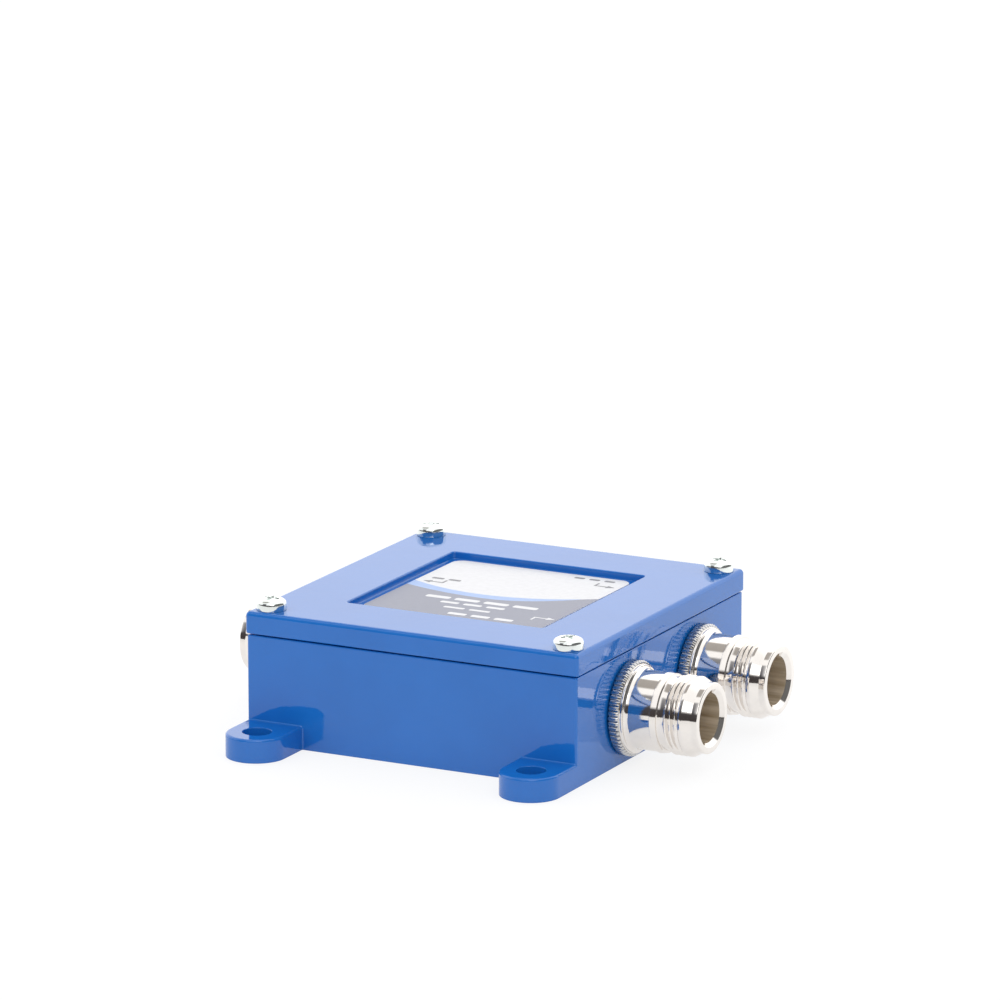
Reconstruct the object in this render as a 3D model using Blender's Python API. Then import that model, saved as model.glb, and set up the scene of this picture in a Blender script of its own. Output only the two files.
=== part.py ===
"""Coaxial tapper: a screwed metal box with four mounting ears and three threaded coaxial sockets.

Sizes are in millimetres. X runs along the front face, Y from front to back and Z up.
The origin is under the middle of the box, on the surface it stands on.
"""
import math

import bmesh
import bpy

MILLIMETRE = 0.001

# Clearances
GAP = 0.3
LABEL_MARGIN = 1.9
BOARD_END_GAP = 0.5

# Box
BOX_LENGTH = 72.6
BOX_DEPTH = 75.0
BODY_HEIGHT = 22.05
CORNER_RADIUS = 1.3
FOOT_BEVEL = 0.4
WALL = 3.2
FLOOR = 3.0
BOSS_RADIUS = 4.2

# Lid
LID_THICKNESS = 4.45
LID_OVERHANG = 0.3
LID_EDGE_RADIUS = 1.0
LID_LOWER_RADIUS = 0.3
RECESS_LENGTH = 43.6
RECESS_WIDTH = 45.9
RECESS_CENTRE = (-0.4, 0.6)
RECESS_DEPTH = 1.5
RECESS_CORNER = 0.8
LABEL_THICKNESS = 0.2
LABEL_CORNER = 2.5

# Ears
EAR_WIDTH = 12.3
EAR_REACH = 13.6
EAR_THICKNESS = 4.8
EAR_EDGE_RADIUS = 0.6
EAR_HOLE_RADIUS = 2.95
EAR_HOLE_REACH = 7.2
EAR_ROOT = 4.0

# Lid screws
LID_SCREW_INSET = 3.6
LID_SCREW_RADIUS = 1.5
LID_SCREW_LENGTH = 12.0
LID_HEAD_RADIUS = 3.05
LID_HEAD_HEIGHT = 2.2

# Connector stations, measured outwards from the outer face of the box wall
CONNECTOR_REACH = 18.3
FLANGE_THICKNESS = 2.1
FLANGE_RADIUS = 9.5
FLANGE_BEVEL = 0.35
FLANGE_TEETH = 56
TOOTH_DEPTH = 0.42
COLLAR_RADIUS = 8.7
COLLAR_LENGTH = 0.5
COLLAR_TAPER = 0.9
NECK_RADIUS = 7.85
SHOULDER_RADIUS = 8.05
SHOULDER_STATION = 8.5
SHOULDER_LENGTH = 1.25
RELIEF_RADIUS = 7.3
RELIEF_LENGTH = 1.5
THREAD_RADIUS = 7.95
PILOT_RADIUS = 7.05
PILOT_LENGTH = 1.4
PILOT_TAPER = 1.6
BORE_RADIUS = 4.95
BORE_CHAMFER = 0.75
BORE_DEPTH = 6.0
INNER_BORE_RADIUS = 4.05
INNER_BORE_TAPER = 0.7
SHANK_RADIUS = 6.3
SHANK_BEYOND_WALL = 1.2
INSULATOR_DEPTH = 9.2
CONTACT_DEPTH = 4.1
CONTACT_RADIUS = 1.52
CONTACT_SOCKET_RADIUS = 0.8
CONTACT_SOCKET_DEPTH = 4.5
CONTACT_SLOT_WIDTH = 0.35
TAIL_RADIUS = 0.65
TAIL_LENGTH = 4.6

# Ports: the side each is on, and its place along that side
PORT_HEIGHT = 10.9
INPUT_Y = -0.9
TAP_Y = -15.2
THROUGH_Y = 15.9
PORTS = {"input": (-1, INPUT_Y), "tap": (1, TAP_Y), "through": (1, THROUGH_Y)}

# Circuit board
BOARD_THICKNESS = 1.6
BOARD_CORNER = 1.0
TRACE_THICKNESS = 0.2
TRACE_WIDTH = 3.0
TRACE_END_MARGIN = 0.6
RESISTOR_X = -16.0
RESISTOR_COUNT = 3
RESISTOR_LENGTH = 2.0
RESISTOR_WIDTH = 1.25
RESISTOR_HEIGHT = 0.55
BOARD_SCREW_INSET = 4.5
BOARD_SCREW_TO_TRACE = 3.8
BOARD_SCREW_RADIUS = 1.25
BOARD_SCREW_LENGTH = 6.0
BOARD_HEAD_RADIUS = 2.3
BOARD_HEAD_HEIGHT = 1.5
STANDOFF_RADIUS = 3.0

# Cross recess of every screw, as shares of its head
HEAD_EDGE_SHARE = 0.4
CROSS_ARM_SHARE = 0.56
CROSS_SLOT_SHARE = 0.26
CROSS_DEPTH_SHARE = 0.6

# Fineness
ROUND_STEPS = 32
EAR_HOLE_STEPS = 24
SCREW_STEPS = 16
CORNER_STEPS = 4
DOME_STEPS = 3
EDGE_STEPS = 3
EAR_STEPS = 14
BOSS_STEPS = 6
LEAST_CORNER = 0.2
CUT_MARGIN = 1.0

# Places that follow from the sizes above
HALF_LENGTH = BOX_LENGTH / 2
HALF_DEPTH = BOX_DEPTH / 2
LID_BASE = BODY_HEIGHT + GAP
LID_TOP = LID_BASE + LID_THICKNESS
SCREW_X = HALF_LENGTH - LID_SCREW_INSET
SCREW_Y = HALF_DEPTH - LID_SCREW_INSET
EAR_X = HALF_LENGTH - EAR_WIDTH / 2
EAR_HOLE_Y = HALF_DEPTH + EAR_HOLE_REACH
SHANK_LENGTH = WALL + SHANK_BEYOND_WALL
TRACE_TOP = PORT_HEIGHT - TAIL_RADIUS - GAP
TRACE_BASE = TRACE_TOP - TRACE_THICKNESS
BOARD_TOP = TRACE_BASE - GAP
BOARD_BASE = BOARD_TOP - BOARD_THICKNESS
BOARD_LENGTH = BOX_LENGTH - 2 * (SHANK_LENGTH + BOARD_END_GAP)
OUTER_TRACE_Y = max(abs(y) for _, y in PORTS.values()) + TRACE_WIDTH / 2
BOARD_SCREW_X = BOARD_LENGTH / 2 - BOARD_SCREW_INSET
BOARD_SCREW_Y = OUTER_TRACE_Y + BOARD_SCREW_TO_TRACE + BOARD_HEAD_RADIUS
BOARD_WIDTH = 2 * (BOARD_SCREW_Y + BOARD_SCREW_INSET)
TRACE_END_X = BOARD_LENGTH / 2 - TRACE_END_MARGIN
CHAIN_START_Y = INPUT_Y - TRACE_WIDTH / 2 - GAP
CHAIN_PITCH = RESISTOR_LENGTH + GAP
CHAIN_END_Y = CHAIN_START_Y - RESISTOR_COUNT * CHAIN_PITCH
SIDES = {"front_left": (-1, -1), "front_right": (1, -1), "back_left": (-1, 1), "back_right": (1, 1)}


def clear_scene():
    """Removes every object from the open scene."""
    for old in list(bpy.data.objects):
        bpy.data.objects.remove(old, do_unlink=True)


def make_material(name, colour, roughness, metallic):
    """A Principled material of one colour."""
    material = bpy.data.materials.new(name)
    material.use_nodes = True
    shader = material.node_tree.nodes["Principled BSDF"]
    shader.inputs["Base Color"].default_value = (*colour, 1.0)
    shader.inputs["Roughness"].default_value = roughness
    shader.inputs["Metallic"].default_value = metallic
    material.diffuse_color = (*colour, 1.0)
    return material


def make_object(name, shape, material=None):
    """Turns a bmesh in millimetres into a named object in metres."""
    bmesh.ops.recalc_face_normals(shape, faces=shape.faces)
    bmesh.ops.scale(shape, vec=(MILLIMETRE, MILLIMETRE, MILLIMETRE), verts=shape.verts)
    mesh = bpy.data.meshes.new(name)
    shape.to_mesh(mesh)
    shape.free()
    thing = bpy.data.objects.new(name, mesh)
    bpy.context.scene.collection.objects.link(thing)
    if material is not None:
        mesh.materials.append(material)
    mesh.shade_smooth()
    mesh.set_sharp_from_angle(angle=math.radians(30))
    return thing


def place(thing, x, y, z, turn=0.0):
    """Sets an object's place in millimetres and its turn about Z."""
    thing.location = (x * MILLIMETRE, y * MILLIMETRE, z * MILLIMETRE)
    thing.rotation_euler = (0.0, 0.0, turn)
    return thing


def combine(target, tool, operation):
    """Cuts or joins a target with a hidden tool object."""
    step = target.modifiers.new(tool.name, "BOOLEAN")
    step.operation = operation
    step.solver = "EXACT"
    step.object = tool
    tool.hide_render = True
    tool.display_type = "WIRE"


def arc(centre, radius, start, end, steps):
    """Points of an arc between two angles in degrees, ends included."""
    turns = [math.radians(start + (end - start) * i / steps) for i in range(steps + 1)]
    return [(centre[0] + radius * math.cos(t), centre[1] + radius * math.sin(t)) for t in turns]


def circle(radius, steps, centre=(0.0, 0.0)):
    """Points of a circle, counter-clockwise."""
    return arc(centre, radius, 0.0, 360.0, steps)[:-1]


def rounded_rectangle(length, width, radius, centre=(0.0, 0.0)):
    """Outline of a rectangle with round corners, counter-clockwise."""
    radius = max(radius, LEAST_CORNER)
    points = []
    for start, (side_x, side_y) in zip((0, 90, 180, 270), ((1, 1), (-1, 1), (-1, -1), (1, -1))):
        corner_x = centre[0] + side_x * (length / 2 - radius)
        corner_y = centre[1] + side_y * (width / 2 - radius)
        points += arc((corner_x, corner_y), radius, start, start + 90, CORNER_STEPS)
    return points


def edge_levels(outline, low, high, low_radius, high_radius):
    """Outlines and heights of a block with rounded lower and upper edges.

    outline is a function that gives the outline drawn in by a distance.
    """
    levels = []
    quarter = [math.radians(90 * i / EDGE_STEPS) for i in range(EDGE_STEPS + 1)]
    for t in quarter:
        levels.append((outline(low_radius * (1 - math.sin(t))), low + low_radius * (1 - math.cos(t))))
    if high_radius == 0.0:
        return levels + [(outline(0.0), high)]
    for t in quarter:
        levels.append((outline(high_radius * (1 - math.cos(t))), high - high_radius * (1 - math.sin(t))))
    return levels


def loft(levels, shape=None):
    """A closed solid through outlines with equal point counts, stacked along Z."""
    shape = shape or bmesh.new()
    rings = [[shape.verts.new((x, y, z)) for x, y in points] for points, z in levels]
    count = len(rings[0])
    for low, high in zip(rings, rings[1:]):
        for i in range(count):
            j = (i + 1) % count
            shape.faces.new((low[i], low[j], high[j], high[i]))
    shape.faces.new(list(reversed(rings[0])))
    shape.faces.new(rings[-1])
    return shape


def prism(outline, low, high, shape=None):
    """A straight-sided solid between two heights."""
    return loft([(outline, low), (outline, high)], shape)


def turn_to_x(shape):
    """Lays a solid modelled along Z down along X."""
    for vertex in shape.verts:
        x, y, z = vertex.co
        vertex.co = (z, x, y)
    return shape


def turn_to_z(shape):
    """Stands a solid modelled along X up along Z."""
    for vertex in shape.verts:
        x, y, z = vertex.co
        vertex.co = (y, z, x)
    return shape


def lathe(profile, steps, closed=False):
    """Turns a profile of (station, radius) about X.

    A closed profile is the section of a ring. An open one starts and ends on the axis.
    """
    shape = bmesh.new()
    rings = []
    for station, radius in profile:
        points = circle(radius, steps) if radius > 0.0 else [(0.0, 0.0)]
        rings.append([shape.verts.new((station, y, z)) for y, z in points])
    pairs = list(zip(rings, rings[1:]))
    if closed:
        pairs.append((rings[-1], rings[0]))
    for first, second in pairs:
        for i in range(steps):
            j = i + 1
            near = [first[i % len(first)], first[j % len(first)]]
            far = [second[j % len(second)], second[i % len(second)]]
            shape.faces.new(list(dict.fromkeys(near + far)))
    return shape


def cross_outline(arm, width):
    """Outline of a plus sign with its arms along the axes."""
    half = width / 2
    points = []
    for quarter in range(4):
        turn = math.pi / 2 * quarter
        for x, y in ((arm, -half), (arm, half), (half, half)):
            points.append((x * math.cos(turn) - y * math.sin(turn), x * math.sin(turn) + y * math.cos(turn)))
    return points


def strip_outline(points, width):
    """Outline of a strip of even width along a path, with mitred bends."""
    headings = [math.atan2(y1 - y0, x1 - x0) for (x0, y0), (x1, y1) in zip(points, points[1:])]
    left = []
    right = []
    for i, (x, y) in enumerate(points):
        before = headings[max(i - 1, 0)]
        after = headings[min(i, len(headings) - 1)]
        middle = (before + after) / 2
        reach = width / 2 / math.cos((after - before) / 2)
        step_x = -math.sin(middle) * reach
        step_y = math.cos(middle) * reach
        left.append((x + step_x, y + step_y))
        right.append((x - step_x, y - step_y))
    return right + left[::-1]


def box_outline(inset):
    """Outline of the box, drawn in by a distance."""
    return rounded_rectangle(BOX_LENGTH - 2 * inset, BOX_DEPTH - 2 * inset, CORNER_RADIUS - inset)


def lid_outline(inset):
    """Outline of the lid, drawn in by a distance."""
    grow = LID_OVERHANG - inset
    return rounded_rectangle(BOX_LENGTH + 2 * grow, BOX_DEPTH + 2 * grow, CORNER_RADIUS + grow)


def cavity_outline():
    """Outline of the inside of the box, which steps round the four screw bosses."""
    half_x = HALF_LENGTH - WALL
    half_y = HALF_DEPTH - WALL
    start = 270 + math.degrees(math.asin((half_x - SCREW_X) / BOSS_RADIUS))
    end = 180 - math.degrees(math.asin((half_y - SCREW_Y) / BOSS_RADIUS))
    corner = arc((SCREW_X, SCREW_Y), BOSS_RADIUS, start, end, BOSS_STEPS)
    half = corner + [(-x, y) for x, y in reversed(corner)]
    return half + [(-x, -y) for x, y in half]


def ear_outline(inset):
    """Outline of one D-shaped ear on the wall's line, drawn in by a distance."""
    radius = EAR_WIDTH / 2
    centre_y = HALF_DEPTH + EAR_REACH - radius
    root_y = HALF_DEPTH - EAR_ROOT
    rim = arc((0.0, centre_y), radius - inset, 0, 180, EAR_STEPS)
    return rim + [(inset - radius, root_y), (radius - inset, root_y)]


def at_corner(outline, side_x, side_y, x, y=0.0):
    """An outline moved to one corner of the box and mirrored to face outwards."""
    return [(side_x * (x + px), side_y * (y + py)) for px, py in outline]


def make_ears():
    """The four ears as one tool for joining with the box."""
    shape = bmesh.new()
    for side_x, side_y in SIDES.values():
        levels = edge_levels(ear_outline, 0.0, EAR_THICKNESS, FOOT_BEVEL, EAR_EDGE_RADIUS)
        loft([(at_corner(outline, side_x, side_y, EAR_X), z) for outline, z in levels], shape)
    return make_object("cutter_ears", shape)


def make_standoffs():
    """The four posts that carry the circuit board, rooted in the floor."""
    shape = bmesh.new()
    post = circle(STANDOFF_RADIUS, SCREW_STEPS)
    for side_x, side_y in SIDES.values():
        outline = at_corner(post, side_x, side_y, BOARD_SCREW_X, BOARD_SCREW_Y)
        prism(outline, FLOOR / 2, BOARD_BASE - GAP, shape)
    return make_object("cutter_standoffs", shape)


def make_body_holes():
    """The holes in the ears, the lid screw bosses and the board standoffs."""
    shape = bmesh.new()
    ear_hole = circle(EAR_HOLE_RADIUS, EAR_HOLE_STEPS)
    lid_hole = circle(LID_SCREW_RADIUS + GAP, SCREW_STEPS)
    board_hole = circle(BOARD_SCREW_RADIUS + GAP, SCREW_STEPS)
    for side_x, side_y in SIDES.values():
        outline = at_corner(ear_hole, side_x, side_y, EAR_X, EAR_HOLE_Y)
        prism(outline, -CUT_MARGIN, EAR_THICKNESS + CUT_MARGIN, shape)
        outline = at_corner(lid_hole, side_x, side_y, SCREW_X, SCREW_Y)
        prism(outline, LID_TOP - LID_SCREW_LENGTH, BODY_HEIGHT + CUT_MARGIN, shape)
        outline = at_corner(board_hole, side_x, side_y, BOARD_SCREW_X, BOARD_SCREW_Y)
        prism(outline, BOARD_TOP - BOARD_SCREW_LENGTH, BOARD_BASE, shape)
    return make_object("cutter_body_holes", shape)


def make_enclosure(paint):
    """The open box with its ears, bosses, standoffs and holes."""
    body = make_object("enclosure_body", loft(edge_levels(box_outline, 0.0, BODY_HEIGHT, FOOT_BEVEL, 0.0)), paint)
    combine(body, make_ears(), "UNION")
    cavity = make_object("cutter_cavity", prism(cavity_outline(), FLOOR, BODY_HEIGHT + CUT_MARGIN))
    combine(body, cavity, "DIFFERENCE")
    combine(body, make_standoffs(), "UNION")
    for name, (side, y) in PORTS.items():
        hole = turn_to_x(prism(circle(SHANK_RADIUS + GAP, ROUND_STEPS), -WALL - CUT_MARGIN, CUT_MARGIN))
        cutter = make_object("cutter_port_" + name, hole)
        place(cutter, side * HALF_LENGTH, y, PORT_HEIGHT, math.pi * (side < 0))
        combine(body, cutter, "DIFFERENCE")
    combine(body, make_body_holes(), "DIFFERENCE")


def make_lid(paint):
    """The lid with its label recess and screw holes."""
    shape = loft(edge_levels(lid_outline, LID_BASE, LID_TOP, LID_LOWER_RADIUS, LID_EDGE_RADIUS))
    lid = make_object("lid", shape, paint)
    cuts = bmesh.new()
    recess = rounded_rectangle(RECESS_LENGTH, RECESS_WIDTH, RECESS_CORNER, RECESS_CENTRE)
    prism(recess, LID_TOP - RECESS_DEPTH, LID_TOP + CUT_MARGIN, cuts)
    hole = circle(LID_SCREW_RADIUS + GAP, SCREW_STEPS)
    for side_x, side_y in SIDES.values():
        outline = at_corner(hole, side_x, side_y, SCREW_X, SCREW_Y)
        prism(outline, LID_BASE - CUT_MARGIN, LID_TOP + CUT_MARGIN, cuts)
    combine(lid, make_object("cutter_lid", cuts), "DIFFERENCE")


def make_label(film):
    """The film label that lies in the recess."""
    length = RECESS_LENGTH - 2 * LABEL_MARGIN
    width = RECESS_WIDTH - 2 * LABEL_MARGIN
    base = LID_TOP - RECESS_DEPTH + GAP
    outline = rounded_rectangle(length, width, LABEL_CORNER, RECESS_CENTRE)
    make_object("label", prism(outline, base, base + LABEL_THICKNESS), film)


def make_screw(name, metal, radius, length, head_radius, head_height):
    """A pan-head screw with a cross recess, its seat at the object's origin."""
    edge = head_height * HEAD_EDGE_SHARE
    crown = head_height - edge
    profile = [(head_height, 0.0)]
    for i in range(1, DOME_STEPS + 1):
        t = math.radians(90 * i / DOME_STEPS)
        profile.append((edge + crown * math.cos(t), head_radius * math.sin(t)))
    profile += [(0.0, head_radius), (0.0, radius), (-length, radius), (-length, 0.0)]
    screw = make_object(name, turn_to_z(lathe(profile, SCREW_STEPS)), metal)
    outline = cross_outline(head_radius * CROSS_ARM_SHARE, head_radius * CROSS_SLOT_SHARE)
    cross = prism(outline, head_height * (1 - CROSS_DEPTH_SHARE), head_height + CUT_MARGIN)
    cutter = make_object("cutter_" + name, cross)
    cutter.parent = screw
    combine(screw, cutter, "DIFFERENCE")
    return screw


def make_screws(metal):
    """The lid screws and the board screws, one of each at every corner."""
    lid_size = (LID_SCREW_RADIUS, LID_SCREW_LENGTH, LID_HEAD_RADIUS, LID_HEAD_HEIGHT)
    board_size = (BOARD_SCREW_RADIUS, BOARD_SCREW_LENGTH, BOARD_HEAD_RADIUS, BOARD_HEAD_HEIGHT)
    for corner, (side_x, side_y) in SIDES.items():
        lid_screw = make_screw("lid_screw_" + corner, metal, *lid_size)
        place(lid_screw, side_x * SCREW_X, side_y * SCREW_Y, LID_TOP + GAP)
        board_screw = make_screw("board_screw_" + corner, metal, *board_size)
        place(board_screw, side_x * BOARD_SCREW_X, side_y * BOARD_SCREW_Y, BOARD_TOP + GAP)


def toothed_outline(radius):
    """Outline of the flange's serrated rim."""
    points = []
    for i in range(2 * FLANGE_TEETH):
        reach = radius - TOOTH_DEPTH * (i % 2)
        turn = math.pi * i / FLANGE_TEETH
        points.append((reach * math.cos(turn), reach * math.sin(turn)))
    return points


def make_flange():
    """The serrated flange as a solid along X."""
    levels = [
        (toothed_outline(FLANGE_RADIUS), GAP),
        (toothed_outline(FLANGE_RADIUS), FLANGE_THICKNESS),
        (toothed_outline(FLANGE_RADIUS - FLANGE_BEVEL), FLANGE_THICKNESS + FLANGE_BEVEL),
    ]
    return turn_to_x(loft(levels))


def make_shell_outside():
    """The turned outside of a connector shell, without its flange, as a solid along X."""
    pilot_base = CONNECTOR_REACH - PILOT_LENGTH
    shoulder_end = SHOULDER_STATION + SHOULDER_LENGTH
    relief_end = shoulder_end + RELIEF_LENGTH
    collar_end = FLANGE_THICKNESS + FLANGE_BEVEL + COLLAR_LENGTH
    flange_middle = (GAP + FLANGE_THICKNESS) / 2
    profile = [
        (CONNECTOR_REACH, 0.0),
        (CONNECTOR_REACH, PILOT_RADIUS),
        (pilot_base, PILOT_RADIUS),
        (pilot_base - PILOT_TAPER, THREAD_RADIUS),
        (relief_end, THREAD_RADIUS),
        (relief_end - (THREAD_RADIUS - RELIEF_RADIUS), RELIEF_RADIUS),
        (shoulder_end, RELIEF_RADIUS),
        (shoulder_end, SHOULDER_RADIUS),
        (SHOULDER_STATION, SHOULDER_RADIUS),
        (SHOULDER_STATION, NECK_RADIUS),
        (collar_end + COLLAR_TAPER, NECK_RADIUS),
        (collar_end, COLLAR_RADIUS),
        (flange_middle, COLLAR_RADIUS),
        (flange_middle, SHANK_RADIUS),
        (-SHANK_LENGTH, SHANK_RADIUS),
        (-SHANK_LENGTH, 0.0),
    ]
    return lathe(profile, ROUND_STEPS)


def make_bore():
    """The stepped bore that runs through a connector shell, as a solid along X."""
    bore_end = CONNECTOR_REACH - BORE_DEPTH
    mouth = BORE_RADIUS + BORE_CHAMFER
    profile = [
        (CONNECTOR_REACH + CUT_MARGIN, 0.0),
        (CONNECTOR_REACH + CUT_MARGIN, mouth + CUT_MARGIN),
        (CONNECTOR_REACH - BORE_CHAMFER, BORE_RADIUS),
        (bore_end, BORE_RADIUS),
        (bore_end - INNER_BORE_TAPER, INNER_BORE_RADIUS),
        (-SHANK_LENGTH - CUT_MARGIN, INNER_BORE_RADIUS),
        (-SHANK_LENGTH - CUT_MARGIN, 0.0),
    ]
    return lathe(profile, ROUND_STEPS)


def make_shell(name, nickel):
    """One connector shell: a turned body with a serrated flange and a stepped bore."""
    shell = make_object("connector_shell_" + name, make_shell_outside(), nickel)
    flange = make_object("cutter_flange_" + name, make_flange())
    bore = make_object("cutter_bore_" + name, make_bore())
    for tool, operation in ((flange, "UNION"), (bore, "DIFFERENCE")):
        tool.parent = shell
        combine(shell, tool, operation)
    return shell


def make_insulator(name, plastic):
    """The insulating sleeve that holds the contact in the middle of the shell."""
    outer = INNER_BORE_RADIUS - GAP
    inner = CONTACT_RADIUS + GAP
    front = CONNECTOR_REACH - INSULATOR_DEPTH
    profile = [(front, inner), (front, outer), (-SHANK_LENGTH, outer), (-SHANK_LENGTH, inner)]
    return make_object("connector_insulator_" + name, lathe(profile, SCREW_STEPS, closed=True), plastic)


def make_contact(name, gold):
    """The slotted female contact with its solder tail over the circuit board."""
    tip = CONNECTOR_REACH - CONTACT_DEPTH
    socket_end = tip - CONTACT_SOCKET_DEPTH
    profile = [
        (socket_end, 0.0),
        (socket_end, CONTACT_SOCKET_RADIUS),
        (tip, CONTACT_SOCKET_RADIUS),
        (tip, CONTACT_RADIUS),
        (-SHANK_LENGTH, CONTACT_RADIUS),
        (-SHANK_LENGTH, TAIL_RADIUS),
        (-SHANK_LENGTH - TAIL_LENGTH, TAIL_RADIUS),
        (-SHANK_LENGTH - TAIL_LENGTH, 0.0),
    ]
    contact = make_object("centre_contact_" + name, lathe(profile, SCREW_STEPS), gold)
    cross = cross_outline(CONTACT_RADIUS + CUT_MARGIN, CONTACT_SLOT_WIDTH)
    slots = turn_to_x(prism(cross, socket_end + CONTACT_RADIUS, tip + CUT_MARGIN))
    cutter = make_object("cutter_slots_" + name, slots)
    cutter.parent = contact
    combine(contact, cutter, "DIFFERENCE")
    return contact


def make_connectors(nickel, plastic, gold):
    """The three sockets, each with its shell, sleeve and contact on one axis."""
    for name, (side, y) in PORTS.items():
        for piece in (make_shell(name, nickel), make_insulator(name, plastic), make_contact(name, gold)):
            place(piece, side * HALF_LENGTH, y, PORT_HEIGHT, math.pi * (side < 0))


def make_board(laminate):
    """The circuit board with its four screw holes."""
    outline = rounded_rectangle(BOARD_LENGTH, BOARD_WIDTH, BOARD_CORNER)
    board = make_object("circuit_board", prism(outline, BOARD_BASE, BOARD_TOP), laminate)
    holes = bmesh.new()
    hole = circle(BOARD_SCREW_RADIUS + GAP, SCREW_STEPS)
    for side_x, side_y in SIDES.values():
        place_of_hole = at_corner(hole, side_x, side_y, BOARD_SCREW_X, BOARD_SCREW_Y)
        prism(place_of_hole, BOARD_BASE - CUT_MARGIN, BOARD_TOP + CUT_MARGIN, holes)
    combine(board, make_object("cutter_board", holes), "DIFFERENCE")


def make_traces(copper):
    """The two copper strips that join the contacts to each other through the resistors."""
    bend = TRACE_WIDTH
    rise = THROUGH_Y - INPUT_Y
    main_path = [
        (-TRACE_END_X, INPUT_Y),
        (RESISTOR_X + bend, INPUT_Y),
        (RESISTOR_X + bend + rise, THROUGH_Y),
        (TRACE_END_X, THROUGH_Y),
    ]
    tap_path = [
        (RESISTOR_X, CHAIN_END_Y),
        (RESISTOR_X, TAP_Y + bend),
        (RESISTOR_X + bend, TAP_Y),
        (TRACE_END_X, TAP_Y),
    ]
    for name, path in (("main_trace", main_path), ("tap_trace", tap_path)):
        make_object(name, prism(strip_outline(path, TRACE_WIDTH), TRACE_BASE, TRACE_TOP), copper)


def make_resistors(ceramic):
    """The chip resistors in a row between the main strip and the tap strip."""
    half_x = RESISTOR_WIDTH / 2
    half_y = RESISTOR_LENGTH / 2
    outline = [(half_x, half_y), (-half_x, half_y), (-half_x, -half_y), (half_x, -half_y)]
    for i in range(RESISTOR_COUNT):
        resistor = make_object("chip_resistor_%d" % (i + 1), prism(outline, 0.0, RESISTOR_HEIGHT), ceramic)
        place(resistor, RESISTOR_X, CHAIN_START_Y - half_y - i * CHAIN_PITCH, BOARD_TOP + GAP)


def main():
    """Builds the whole part."""
    clear_scene()
    paint = make_material("blue_paint", (0.02, 0.13, 0.45), 0.25, 0.0)
    nickel = make_material("nickel_plate", (0.72, 0.69, 0.64), 0.22, 1.0)
    zinc = make_material("zinc_plate", (0.78, 0.80, 0.78), 0.25, 1.0)
    gold = make_material("gold_plate", (0.85, 0.62, 0.25), 0.25, 1.0)
    make_enclosure(paint)
    make_lid(paint)
    make_label(make_material("label_film", (0.70, 0.71, 0.80), 0.5, 0.0))
    make_screws(zinc)
    make_connectors(nickel, make_material("white_insulator", (0.85, 0.85, 0.82), 0.5, 0.0), gold)
    make_board(make_material("board_laminate", (0.12, 0.30, 0.14), 0.5, 0.0))
    make_traces(make_material("copper_strip", (0.80, 0.45, 0.25), 0.35, 1.0))
    make_resistors(make_material("resistor_ceramic", (0.05, 0.05, 0.06), 0.5, 0.0))


main()
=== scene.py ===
"""Coaxial tapper: the finished look of a blue screwed box with three nickel-plated sockets.

Sizes in this script are millimetres, and METRE turns them into Blender's metres.
X runs along the front face, Y from front to back and Z up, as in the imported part.
"""
import math

import bmesh
import bpy
from mathutils import Matrix, Vector


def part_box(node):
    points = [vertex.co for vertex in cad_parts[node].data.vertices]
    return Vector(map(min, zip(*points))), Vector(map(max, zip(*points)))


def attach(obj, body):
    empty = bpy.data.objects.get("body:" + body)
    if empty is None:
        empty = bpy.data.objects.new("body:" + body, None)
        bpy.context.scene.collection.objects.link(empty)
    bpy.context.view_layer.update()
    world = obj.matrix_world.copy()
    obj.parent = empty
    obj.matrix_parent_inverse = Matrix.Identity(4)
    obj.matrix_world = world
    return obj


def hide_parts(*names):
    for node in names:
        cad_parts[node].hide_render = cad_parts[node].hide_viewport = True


METRE = 0.001
ROOT = "root"

# Camera, solved from the photograph's edges
CAMERA_YAW = 27.09
CAMERA_PITCH = 13.81
CAMERA_DISTANCE = 1400.8
CAMERA_RIGHT = 0.4695
CAMERA_UP = 43.886
LENS_PER_SENSOR = 7.0
SENSOR_WIDTH = 36.0

# Box
BOX_LENGTH = 72.6
BOX_DEPTH = 75.0
CORNER_RADIUS = 0.5
FOOT_RADIUS = 0.12
RIM_RADIUS = 0.25
WALL = 3.2
FLOOR = 3.0
PORT_GAP = 0.3

# Ears
EAR_WIDTH = 12.3
EAR_REACH = 13.6
EAR_THICKNESS = 4.8
EAR_EDGE_RADIUS = 0.55
EAR_HOLE_RADIUS = 2.9
EAR_HOLE_REACH = 7.2
EAR_ROOT = 4.0
EAR_FILLET = 0.3
HOLE_RIM = 0.15

# Lid
LID_OVERHANG = 0.3
LID_EDGE_RADIUS = 0.9
LID_LOWER_RADIUS = 0.3
RECESS_LENGTH = 43.6
RECESS_WIDTH = 45.9
RECESS_CENTRE = (-0.4, 0.6)
RECESS_DEPTH = 1.5
RECESS_CORNER = 0.8
RECESS_RIM = 0.3
RECESS_FOOT = 0.25
SCREW_INSET = 3.6

# Lid screws
SCREW_RADIUS = 1.5
SCREW_HOLE_RADIUS = 1.8
SCREW_LENGTH = 11.9
HEAD_RADIUS = 3.03
HEAD_HEIGHT = 2.4
HEAD_SIDE = 0.95
HEAD_LIP = 0.12
CROWN_POWER = 2.8
CROSS_ARM = 1.7
CROSS_WIDTH = 0.75
CROSS_DEPTH = 1.3
CROSS_TAPER = 0.55
CROSS_FLARE = 1.25
CROSS_WEB = 1.3
HEAD_BEVEL = 0.06
SCREW_TURN = 0.5

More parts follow.
